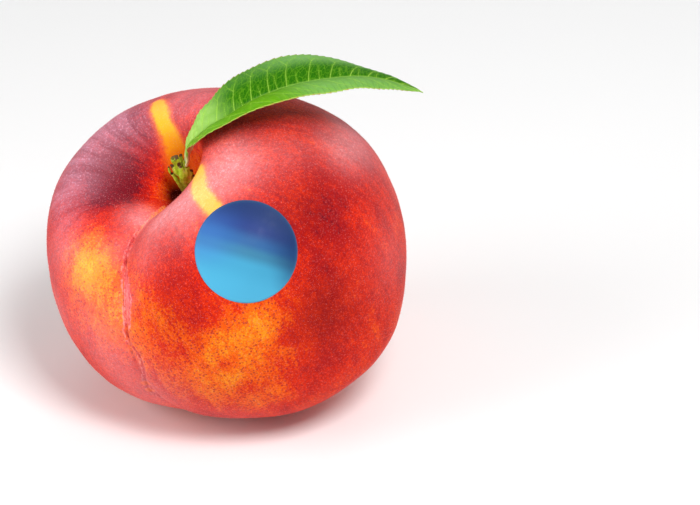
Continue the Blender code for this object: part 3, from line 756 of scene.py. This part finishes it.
def add_fruit():
    """The fruit's fine surface, with the values that its skin's colours follow."""
    lying, own, seam, streak, reach = fruit_grid()
    points = ringed(lying)
    fruit = mesh_object("fruit_skin", points, fruit_faces(), skin_material(), ["fruit"])
    scars = [((points - scar[:3]) / (scar[3], scar[3], scar[4])) ** 2 for scar in SCARS]
    set_values(
        fruit,
        own_place=ringed(own),
        seam=ringed(seam),
        streak=ringed(streak),
        seam_reach=ringed(reach)[:, 0],
        blush=BLUSH + patch_sum(points, BLUSH_SPOTS_AND_PAINTED_SHADE),
        # Next: pale fuzz and purple-pink rims, each partly a painted sheen, then painted shade.
        bloom=patch_sum(points, THICK_FUZZ_AND_PAINTED_SHEEN_SPOTS),
        mauve=patch_sum(points, PURPLE_FUZZ_AND_RIM_SHEEN_SPOTS),
        deep=patch_sum(points, PAINTED_SHADE_SPOTS),
        scar=sum(np.exp(-scar.sum(axis=1)) for scar in scars),
        stripe=np.minimum(stripe_field(points, STRIPE_FAR), stripe_field(points, STRIPE_NEAR)),
    )
    return fruit


# The sticker


def surface_tree(piece):
    """A tree for casting rays at a piece, in millimetres from the fruit's centre."""
    points = [v.co / MM - CENTRE for v in piece.data.vertices]
    return BVHTree.FromPolygons(points, [tuple(p.vertices) for p in piece.data.polygons])


def sticker_material():
    t = Tree("sticker_blue")
    place = t.vector("disc")
    x, y, _ = t.parts(place)
    rise = t.times_add(x, 0.28, y)
    t.colour = t.ramp(t.step(rise, -1.05, 1.1), STICKER_BLUES)
    right = t.step(t.times_add(y, 0.25, x), 0.25, 1.05)
    t.tint(right, 0.85, (0.004, 0.018, 0.1))
    # Painted sheen: a lighter blue where the light glances off the film.
    left = t.times(t.step(x, 0.1, -0.8), t.step(t.apart(y, 0.3), 0.75, 0.1))
    t.tint(left, 0.5, (0.05, 0.17, 0.52))
    t.tint(t.noise(place, 60, 2), 0.05, (0.2, 0.5, 0.75))
    edge = t.math("POWER", t.put("VectorMath", place, operation="LENGTH").outputs["Value"], 40)
    t.coat(t.times(edge, 0.2, clamp=True), (0.16, 0.42, 0.62))
    normal = t.bump(t.noise(place, 5, 3), 0.15, 0.2)
    roughness = t.step(t.noise(place, 9, 2), 0.3, 0.7, 0.46, 0.54)
    return t.finish(roughness, normal, Specular_IOR_Level=0.12)


def sticker_layers(tree, places):
    """The film's lower and upper points over the skin, its rim a little lifted here and there."""
    outward = STICKER_TOWARDS.normalized()
    level = Vector((1, 0, 0))
    level = (level - outward * level.dot(outward)).normalized()
    upright = outward.cross(level)
    layers = [[], []]
    for x, y in places:
        start = outward * 60 + STICKER_RADIUS * (x * level + y * upright)
        place, normal, _, _ = tree.ray_cast(start, -outward)
        reach = hypot(x, y)
        uneven = (0.5 + 0.5 * wander(3 * atan2(y, x), 6.0)) ** 2
        lifted = STICKER_LIFT * max(reach - STICKER_LIFT_FROM, 0) / (1 - STICKER_LIFT_FROM) * uneven
        rounded = 0.05 * reach ** 30
        layers[0].append(place + normal * (STICKER_GAP + lifted))
        layers[1].append(place + normal * (STICKER_GAP + lifted + STICKER_FILM - rounded))
    return np.array(layers).reshape(-1, 3)


def sticker_faces(count):
    """Rings of quads round a middle point on both layers, and the rim between them."""
    rings = np.arange(1, count).reshape(-1, STICKER_SIDES)
    quads = grid_quads(rings, closed=True)
    first = rings[0].tolist()
    middle = [(0, a, b) for a, b in zip(first, first[1:] + first[:1])]
    faces = quads[:, ::-1].tolist() + [face[::-1] for face in middle]
    faces += (quads + count).tolist() + [[count + i for i in face] for face in middle]
    rim = np.stack([rings[-1], rings[-1] + count])
    return faces + grid_quads(rim, closed=True)[:, [0, 3, 2, 1]].tolist()


def add_sticker(tree):
    """The sticker: a thin film that follows the skin."""
    places = [(0.0, 0.0)]
    for ring in range(1, STICKER_RINGS + 1):
        reach = ring / STICKER_RINGS
        for k in range(STICKER_SIDES):
            angle = 2 * pi * k / STICKER_SIDES
            places.append((reach * cos(angle), reach * sin(angle)))
    points = sticker_layers(tree, places)
    faces = sticker_faces(len(places))
    sticker = mesh_object("sticker_film", points, faces, sticker_material(), ["sticker"])
    set_values(sticker, disc=[(x, y, 0.0) for x, y in places * 2])


# The leaf


def leaf_stations():
    """Points along the leaf's stalk and midrib, their tangents, and their lengths along the blade."""
    fine = open_curve(MIDRIB, 24)
    along = lengths_along(fine)
    blade = along[-1] - LEAF_STALK
    share = np.concatenate([np.linspace(-LEAF_STALK / blade, 0, STALK_STATIONS, endpoint=False),
                            np.linspace(0, 1, STATIONS_PER_TOOTH * LEAF_TEETH + 1)])
    length = LEAF_STALK + share * blade
    points = np.column_stack([np.interp(length, along, fine[:, axis]) for axis in range(3)])
    smoothed = points.copy()
    for _ in range(6):
        smoothed[1:-1] = (smoothed[:-2] + 2 * smoothed[1:-1] + smoothed[2:]) / 4
    return smoothed, np.gradient(smoothed, axis=0), share, blade


def leaf_margin(share, depth):
    """The blade's half width at each station with its saw teeth, which point to the tip."""
    inside = np.clip(share, 0, 1)
    width = LEAF_HALF_WIDTH * np.sin(np.pi * inside ** LEAF_SWELL)
    tooth = (np.arange(len(share)) - STALK_STATIONS) % STATIONS_PER_TOOTH / (STATIONS_PER_TOOTH - 1)
    tooth = depth * np.minimum(width / 4, 1.0) * (tooth ** 1.3 - 0.5)
    tooth = np.where(share > 0, tooth, 0)
    return np.maximum(width + tooth, np.where(share < 0.5, STALK_HALF_WIDTH, 0.12))


def side_twig(end, reach, share, power, size):
    """A thinning vein that goes on from a trunk's end."""
    v = np.linspace(0, 1, 8)
    across = end[1] + (share - end[1]) * v ** power
    return np.column_stack([end[0] + reach * v, across, size * end[2] * (1 - 0.75 * v)])


def vein_paths(blade):
    """Every side vein of one half as points (length along, share of the half width, vein's half width)."""
    paths = []
    for k, start in enumerate(VEIN_STARTS):
        lean = 2.0 + 2.6 * start / blade + 0.5 * wander(k * 2.1, 3.0)
        bend = 2.4 + 1.2 * wander(k * 1.3, 8.0)
        size = 0.09 if 6 < start < 56 else 0.06
        fork = 0.6 + 0.08 * wander(k * 3.7, 5.0)
        u = np.linspace(0, fork, 10)
        trunk = np.column_stack([start + lean * u + bend * u ** 2, u, size * (1 - 0.45 * u / fork)])
        ahead = 3.4 + 0.8 * wander(k * 0.9, 1.0)
        back = -0.3 - 0.9 * abs(float(wander(k * 1.9, 2.0)))
        end = trunk[-1]
        paths += [trunk, side_twig(end, ahead, 0.93, 0.8, 1.0), side_twig(end, back, 0.9, 1.0, 0.7)]
    for k, start in enumerate(SHORT_VEIN_STARTS):
        u = np.linspace(0, 0.42 + 0.14 * float(wander(k * 2.7, 4.0)), 7)
        paths.append(np.column_stack([start + 1.6 * u + 2.5 * u ** 2, u, 0.06 * (1 - 0.8 * u / u[-1])]))
    return paths


def vein_gap(length, across, half_width, blade, shift):
    """How far each point lies outside the nearest side vein, in millimetres, less than nothing inside it."""
    vein_points = []
    widths = []
    for path in vein_paths(blade):
        knots = np.arange(len(path))
        fine = [np.interp(np.linspace(0, len(path) - 1, 60), knots, path[:, i]) for i in range(3)]
        along = fine[0] + shift
        local = np.interp(along, length[:, 0], half_width)
        vein_points += np.column_stack([along, fine[1] * local, 0 * local]).tolist()
        widths += fine[2].tolist()
    tree = nearest_tree(vein_points)
    gaps = np.empty(across.size)
    for i, (a, b) in enumerate(zip(np.broadcast_to(length, across.shape).ravel(), across.ravel())):
        _, nearest, distance = tree.find((a, b, 0))
        gaps[i] = distance - widths[nearest]
    return gaps.reshape(across.shape)


def leaf_half(points, tangents, share, lean_ends, way):
    """The middle surface of one half of the blade: a row of points for each station, midrib first."""
    inside = np.clip(share, 0, 1)
    grow = inside
    if way > 0:  # the back half leans out in two stretches
        grow = 0.365 * ease((inside - 0.12) / 0.42) + 0.635 * ease((inside - 0.6) / 0.25)
    lean = lean_ends[0] + (lean_ends[1] - lean_ends[0]) * grow - (way < 0) * 3.5 * bell(inside, 0.47, 0.09)
    along = unit(tangents)
    face = unit(np.array(LEAF_FACE) - along * (along @ np.array(LEAF_FACE))[:, None])
    back = np.cross(face, along)
    u = np.linspace(0, 1, HALF_COLUMNS + 1)
    middle = (u[1:] + u[:-1]) / 2
    wave = 3.0 * ease(inside / 0.25) * ease((1 - inside) / 0.15)
    ripple = wave[:, None] * np.sin(share[:, None] * 31 + way) * middle[None, :] ** 2
    curl = way * HALF_CURL * 1.35 * np.sin(np.pi * (middle - 0.5))[None, :]
    angle = np.radians(lean[:, None] + curl + ripple)
    half_width = leaf_margin(share, TOOTH_DEPTHS[0 if way > 0 else 1])
    step = (half_width / HALF_COLUMNS)[:, None, None]
    walk = way * step * (np.cos(angle)[..., None] * back[:, None] - np.sin(angle)[..., None] * face[:, None])
    walked = np.concatenate([np.zeros((len(points), 1, 3)), np.cumsum(walk, axis=1)], axis=1)
    return points[:, None] + walked, half_width, u


def leaf_greens(t, place, length, front, share):
    """Light at the base, dark green towards the tip, lighter again near the margin as a painted reflection,
    and the front half in its own green as painted light.
    """
    tone = t.step(t.times_add(t.noise(place, 0.16, 3), 9, length), 10, 26)
    t.colour = t.mix(tone, (0.5, 0.82, 0.19), (0.017, 0.12, 0.0008))
    # Painted reflection: the margin paler where it would mirror the light.
    rim = t.times(t.step(share, 0.35, 0.85), t.step(length, 24, 40, 0.2, 0.8))
    t.coat(rim, (0.22, 0.46, 0.13))
    # Painted light: the front half in its own green, for how the light falls on it.
    fore = t.step(front, 0.4, 0.6)
    fore_green = t.mix(t.step(length, 25, 37), (0.12, 0.34, 0.001), (0.18, 0.41, 0.08))
    t.tint(fore, 0.85, fore_green)
    blotch = t.centred(place, 0.7, 4, 0.6)
    t.coat(t.step(blotch, -0.2, 0.2, 0, 0.35), t.mix(0.5, t.colour, (0.02, 0.2, 0.004)))


def leaf_veins(t, length, across, front):
    """The net of small veins, then the side veins, the midrib and the stalk; also how high the net stands."""
    bent = t.joined(t.times_add(across, -0.7, length), t.times(across, 0.6), front)
    net = t.step(t.cells(bent, 1, "DISTANCE_TO_EDGE"), 0, 0.1, 1, 0)
    mesh_net = t.step(t.cells(bent, 2.6, "DISTANCE_TO_EDGE"), 0, 0.09, 1, 0)
    t.tint(net, 0.22, (0.22, 0.52, 0.02))
    t.tint(mesh_net, 0.2, (0.18, 0.46, 0.02))
    gap = t.value("vein_gap")
    t.tint(t.step(gap, 0.07, -0.05), 0.8, (0.44, 0.68, 0.1))
    t.tint(t.step(gap, 0.55, 0), 0.12, (0.26, 0.56, 0.02))
    t.tint(t.value("rib"), 0.9, (0.4, 0.66, 0.12))
    t.tint(t.step(length, 1.5, -1.5), 0.9, (0.84, 0.84, 0.42))
    return t.times_add(mesh_net, -0.3, t.times(net, -0.7))


def leaf_edges(t, place, length, share):
    """Yellow-green margins whose teeth have small reddish tips, and the paler lower face."""
    t.tint(t.step(share, 0.95, 1), 0.6, (0.5, 0.66, 0.1))
    tips = t.times(t.value("tooth"), t.step(t.noise(place, 0.35, 1), 0.4, 0.58))
    t.tint(tips, 0.75, (0.62, 0.12, 0.06))
    below = t.value("below")
    t.tint(below, 0.55, (0.3, 0.52, 0.16))
    base = t.times(below, t.step(length, 11, 6))
    t.tint(base, 0.8, (0.84, 0.8, 0.42))


def leaf_material():
    t = Tree("leaf_green")
    place = t.vector("blade")
    length, across, front = t.parts(place)
    share = t.value("across_share")
    leaf_greens(t, place, length, front, share)
    relief = leaf_veins(t, length, across, front)
    leaf_edges(t, place, length, share)
    normal = t.bump(t.times_add(t.noise(place, 3, 3), 0.5, relief), 0.35, 0.08)
    roughness = t.step(t.noise(place, 0.8, 3), 0.3, 0.7, 0.34, 0.46)
    return t.finish(roughness, normal, Specular_IOR_Level=0.04)


def leaf_sheet(points, tangents, share, blade):
    """Both halves side by side: middle surface, distance and share across, gap to the veins, which half."""
    length = (share * blade)[:, None]
    sides = []
    for lean_ends, way, shift in ((BACK_HALF_LEAN, 1, 0.0), (FRONT_HALF_LEAN, -1, FRONT_VEIN_SHIFT)):
        surface, half_width, u = leaf_half(points, tangents, share, lean_ends, way)
        across = half_width[:, None] * u[None, :]
        gap = vein_gap(length, across, half_width, blade, shift)
        sides.append((surface, across, np.broadcast_to(u, across.shape), gap))
    surface, across, u, gap = (np.concatenate([b[:, ::-1], f[:, 1:]], axis=1) for b, f in zip(*sides))
    front = np.broadcast_to(np.arange(across.shape[1]) > HALF_COLUMNS, across.shape).astype(float)
    return surface, across, u, gap, front


def leaf_layers(surface, across, u, gap, share):
    """The leaf's upper and lower points: sunk veins above, raised ones below, a keel and the stalk."""
    normal = unit(np.cross(np.gradient(surface, axis=0), np.gradient(surface, axis=1)), 1e-12)
    normal *= np.sign((normal * np.array(LEAF_FACE)).sum(axis=2).mean())
    inside = (share > 0)[:, None] * ease(share * 14)[:, None]
    sunk = -VEIN_DEPTH * np.exp(-(np.maximum(gap, 0) / 0.18) ** 2) * inside
    puffed = PUFF_HEIGHT * ease(gap / 1.6) * np.clip((1 - u) * 6, 0, 1) * inside
    groove = -GROOVE_OVER_RIB * bell(across, 0, 0.35) * inside
    thin = LEAF_THICKNESS * (1 - 0.6 * u ** 6)
    keel = KEEL_DEPTH * (1 - 0.85 * np.clip(share, 0, 1))[:, None] * bell(across, 0, 0.42)
    blended = ease(share[:, None] * 18)
    stalk = STALK_HALF_THICKNESS * np.sqrt(np.clip(1 - u ** 2, 0, 1)) + 0.03
    above = blended * (thin / 2 + sunk + puffed + groove) + (1 - blended) * stalk
    beneath = blended * (thin / 2 - 0.5 * sunk - 0.5 * puffed + keel) + (1 - blended) * stalk
    top = surface + normal * above[..., None]
    low = surface - normal * beneath[..., None]
    return np.concatenate([top.reshape(-1, 3), low.reshape(-1, 3)])


def leaf_faces(stations, columns):
    """Quads on both faces of the blade and round its rim."""
    count = stations * columns
    index = np.arange(count).reshape(stations, columns)
    rim = np.concatenate([index[0, :], index[1:, -1], index[-1, -2::-1], index[-2:0:-1, 0]])
    upper = grid_quads(index)
    wall = grid_quads(np.stack([rim, rim + count]), closed=True)
    turned = [0, 3, 2, 1]
    return np.vstack([upper, upper[:, turned] + count, wall[:, turned]]).tolist()


def turn_outward(piece):
    """Turns a piece's faces outward."""
    bm = bmesh.new()
    bm.from_mesh(piece.data)
    bmesh.ops.recalc_face_normals(bm, faces=bm.faces)
    bm.to_mesh(piece.data)
    bm.free()
    piece.data.shade_smooth()


def add_leaf():
    """The leaf: a thin veined blade with its teeth and its stalk."""
    points, tangents, share, blade = leaf_stations()
    surface, across, u, gap, front = leaf_sheet(points, tangents, share, blade)
    stations, columns = across.shape
    layers = leaf_layers(surface, across, u, gap, share)
    faces = leaf_faces(stations, columns)
    leaf = mesh_object("leaf_blade", layers, faces, leaf_material(), ["leaf"])
    turn_outward(leaf)
    length = np.broadcast_to((share * blade)[:, None], across.shape)
    phase = (np.arange(stations) - STALK_STATIONS) % STATIONS_PER_TOOTH / (STATIONS_PER_TOOTH - 1)
    tip = (bell(phase, 1.0, 0.3) * (share > 0))[:, None] * ease((u - 0.96) / 0.04)
    set_values(
        leaf,
        blade=np.tile(np.stack([length, across, front], axis=-1).reshape(-1, 3), (2, 1)),
        vein_gap=np.tile(gap.ravel(), 2),
        across_share=np.tile(u.ravel(), 2),
        rib=np.tile(bell(across, 0, 0.22).ravel(), 2),
        tooth=np.tile(tip.ravel(), 2),
        below=np.repeat([0.0, 1.0], stations * columns),
    )


# The stem


def limb_mesh(limb, sides=20, steps=8):
    """Points and faces of a tapered round limb along (x, y, z, radius) points."""
    path = open_curve(limb, steps)
    tangents = np.gradient(path[:, :3], axis=0)
    side = Vector((1, 0, 0))
    points = []
    for point, tangent, radius in zip(path[:, :3], tangents, path[:, 3].tolist()):
        along = Vector(tangent).normalized()
        side = (side - along * side.dot(along)).normalized()
        across = along.cross(side)
        for k in range(sides):
            turn = 2 * pi * k / sides
            points.append(Vector(point) + radius * (cos(turn) * side + sin(turn) * across))
    faces = [tuple(range(sides))[::-1], tuple(range(len(points) - sides, len(points)))]
    rings = np.arange(len(points)).reshape(-1, sides)
    return points, faces + grid_quads(rings, closed=True)[:, [0, 3, 2, 1]].tolist()


def stem_material():
    t = Tree("stem_green")
    place = t.vector("own_place")
    wood = t.noise(t.scaled(place, (1.6, 1.6, 0.5)), 1, 4, 0.6, 0.5)
    t.colour = t.ramp(wood, STEM_GREENS)
    specks = t.step(t.noise(place, 2.4, 3, 0.65), 0.6, 0.72)
    t.tint(specks, 0.55, (0.2, 0.11, 0.03))
    tan = t.step(t.noise(place, 0.9, 3), 0.55, 0.72)
    t.tint(tan, 0.6, (0.62, 0.5, 0.22))
    brown = t.mix(t.noise(place, 3, 3), (0.018, 0.008, 0.004), (0.2, 0.09, 0.03))
    tip = t.times_add(t.centred(place, 2, 3), 0.7, t.value("tip"))
    t.coat(t.step(tip, 0.35, 0.62), brown)
    # Painted shade: the stem darker low down in the pit.
    height = t.times_add(t.noise(place, 0.8, 2), 3, t.parts(place)[2])
    t.coat(t.step(height, 19.6, 17.6, 0, 0.7), (0.2, 0.15, 0.02))
    relief = t.math("ADD", t.noise(t.scaled(place, (3, 3, 0.8)), 1, 4, 0.6), t.noise(place, 5, 2))
    normal = t.bump(relief, 0.5, 0.15)
    roughness = t.step(t.noise(place, 1.5, 2), 0.3, 0.7, 0.42, 0.62)
    return t.finish(roughness, normal, Specular_IOR_Level=0.2)


def grow_together(stem):
    """Makes one skin of the stem's limbs."""
    remesh = stem.modifiers.new("grow_together", "REMESH")
    remesh.mode = "VOXEL"
    remesh.voxel_size = STEM_GRAIN * MM
    smooth = stem.modifiers.new("soften", "SMOOTH")
    smooth.factor = 0.5
    smooth.iterations = 4
    graph = bpy.context.evaluated_depsgraph_get()
    joined = bpy.data.meshes.new_from_object(stem.evaluated_get(graph))
    stem.modifiers.clear()
    old = stem.data
    stem.data = joined
    bpy.data.meshes.remove(old)
    joined.name = "stem_wood"


def corner_points(piece):
    """A piece's points in millimetres from the fruit's centre, and its normals."""
    vertices = piece.data.vertices
    return np.array([v.co for v in vertices]) / MM - np.array(CENTRE), np.array([v.normal for v in vertices])


def add_stem():
    """The stem: its limbs grown together, hollow at the cut ends, with a rough skin."""
    points = []
    faces = []
    for limb in (STALK, *TWIGS):
        more, around = limb_mesh(limb)
        base = len(points)
        points += more
        faces += [tuple(base + i for i in face) for face in around]
    stem = mesh_object("stem_wood", points, faces, stem_material(), ["stem"])
    grow_together(stem)
    co, normals = corner_points(stem)
    rough = 0.07 * lumps(co * (1, 1, 0.5), 1.3, 11) + 0.03 * lumps(co, 0.5, 12)
    co = co + normals * rough[:, None]
    for x, y, z, radius, depth in HOLLOWS:
        off = co - (x, y, z)
        near = norm(off * (1, 1, 0.6), axis=1)
        co[:, 2] -= depth * np.exp(-(near / radius) ** 4)
    stem.data.vertices.foreach_set("co", ((co + np.array(CENTRE)) * MM).ravel())
    stem.data.update()
    stem.data.shade_smooth()
    tip = np.zeros(len(co))
    for twig, size in zip(TWIGS, TWIG_TIP_REACH):
        tip = np.maximum(tip, np.exp(-(norm(co - twig[-1][:3], axis=1) / size) ** 2))
    set_values(stem, tip=tip, own_place=co)


# The fuzz


def bare(root):
    """Where neither the sticker nor the rest spot covers the skin."""
    outward = np.array(STICKER_TOWARDS.normalized())
    off = root - np.outer(root @ outward, outward)
    under = (norm(off, axis=1) < STICKER_RADIUS + FUZZ_OFF_STICKER) & (root @ outward > 0)
    return ~under & (root[:, 2] > FUZZ_OFF_FLOOR - CENTRE.z)


def hair_roots(piece, rng):
    """Places spread evenly by chance over a piece's bare skin, and the normals there."""
    mesh = piece.data
    mesh.calc_loop_triangles()
    triangles = np.array([t.vertices for t in mesh.loop_triangles])
    co, normals = corner_points(piece)
    a, b, c = (co[triangles[:, i]] for i in range(3))
    area = norm(np.cross(b - a, c - a), axis=1)
    chosen = triangles[rng.choice(len(triangles), FUZZ_HAIRS, p=area / area.sum())]
    share = rng.dirichlet((1, 1, 1), FUZZ_HAIRS)[..., None]
    root = (co[chosen] * share).sum(axis=1)
    up = (normals[chosen] * share).sum(axis=1)
    kept = bare(root)
    return root[kept], unit(up[kept])


def needles(name, piece, finish, seed):
    """Short closed needles that stand on a piece's faces, leaning at random."""
    rng = np.random.default_rng(seed)
    root, up = hair_roots(piece, rng)
    count = len(root)
    side = unit(np.cross(up, rng.normal(size=(count, 3))))
    across = np.cross(up, side)
    size = FUZZ_LENGTH * rng.uniform(0.45, 1.15, count)[:, None]
    lean = rng.uniform(0.15, 0.95, count)[:, None]
    tip = root + size * (up * (1 - 0.6 * lean) + side * lean)
    thick = FUZZ_WIDTH * rng.uniform(0.7, 1.2, count)[:, None]
    base = [root - FUZZ_ROOT * up + thick * (cos(a) * side + sin(a) * across) for a in (0.5, 2.6, 4.7)]
    points = np.stack([*base, tip], axis=1).reshape(-1, 3)
    first = np.arange(count)[:, None] * 4
    faces = np.vstack([first + (0, 1, 3), first + (1, 2, 3), first + (2, 0, 3), first + (2, 1, 0)]).tolist()
    mesh_object(name, points, faces, finish, [])


def fuzz_material():
    t = Tree("fuzz")
    place = t.put("TexCoord").outputs["Object"]
    t.colour = t.mix(t.noise(place, 400, 2), (0.8, 0.14, 0.12), (0.92, 0.36, 0.34))
    return t.finish(0.6, None, Specular_IOR_Level=0.3)


# The floor, the light and the camera


def add_floor():
    mesh = bpy.data.meshes.new("floor")
    corners = [(x * FLOOR_HALF, y * FLOOR_HALF, 0) for x, y in ((-1, -1), (1, -1), (1, 1), (-1, 1))]
    mesh.from_pydata(corners, [], [(0, 1, 2, 3)])
    t = Tree("floor_white")
    place = t.put("TexCoord").outputs["Object"]
    t.colour = t.mix(t.noise(place, 3.0, 2.0), (0.9, 0.9, 0.9), (0.93, 0.93, 0.93))
    mesh.materials.append(t.finish(0.7, None, Specular_IOR_Level=0.2))
    new_object("floor", mesh)


def add_light(name, place, aim, size, power):
    """A square softbox at a place in millimetres, aimed at a point near the fruit."""
    lamp = bpy.data.lights.new(name, "AREA")
    lamp.shape = "SQUARE"
    lamp.size = size * MM
    lamp.energy = power
    light = new_object(name, lamp)
    light.location = Vector(place) * MM
    light.rotation_euler = (Vector(aim) - Vector(place)).to_track_quat("-Z", "Y").to_euler()


def add_studio():
    scene = bpy.context.scene
    world = bpy.data.worlds.new("studio")
    world.use_nodes = True
    background = world.node_tree.nodes["Background"]
    background.inputs["Color"].default_value = (1.0, 1.0, 1.0, 1.0)
    background.inputs["Strength"].default_value = WORLD_LIGHT
    scene.world = world
    scene.view_settings.view_transform = "Standard"
    scene.view_settings.look = "None"
    for light in LIGHTS:
        add_light(*light)


def add_camera():
    lens = bpy.data.cameras.new("camera")
    lens.lens = CAMERA_LENS
    lens.clip_start = 0.01
    camera = new_object("camera", lens)
    camera.location = Vector(CAMERA_PLACE) * MM
    camera.rotation_euler = (radians(CAMERA_TILT), 0, 0)
    bpy.context.scene.camera = camera


def build():
    fruit = add_fruit()
    add_sticker(surface_tree(fruit))
    add_leaf()
    add_stem()
    fuzz = fuzz_material()
    for part in range(FUZZ_PIECES):
        needles(f"fruit_fuzz_{part}", fruit, fuzz, FUZZ_SEED + part)
    add_floor()
    add_studio()
    add_camera()


build()
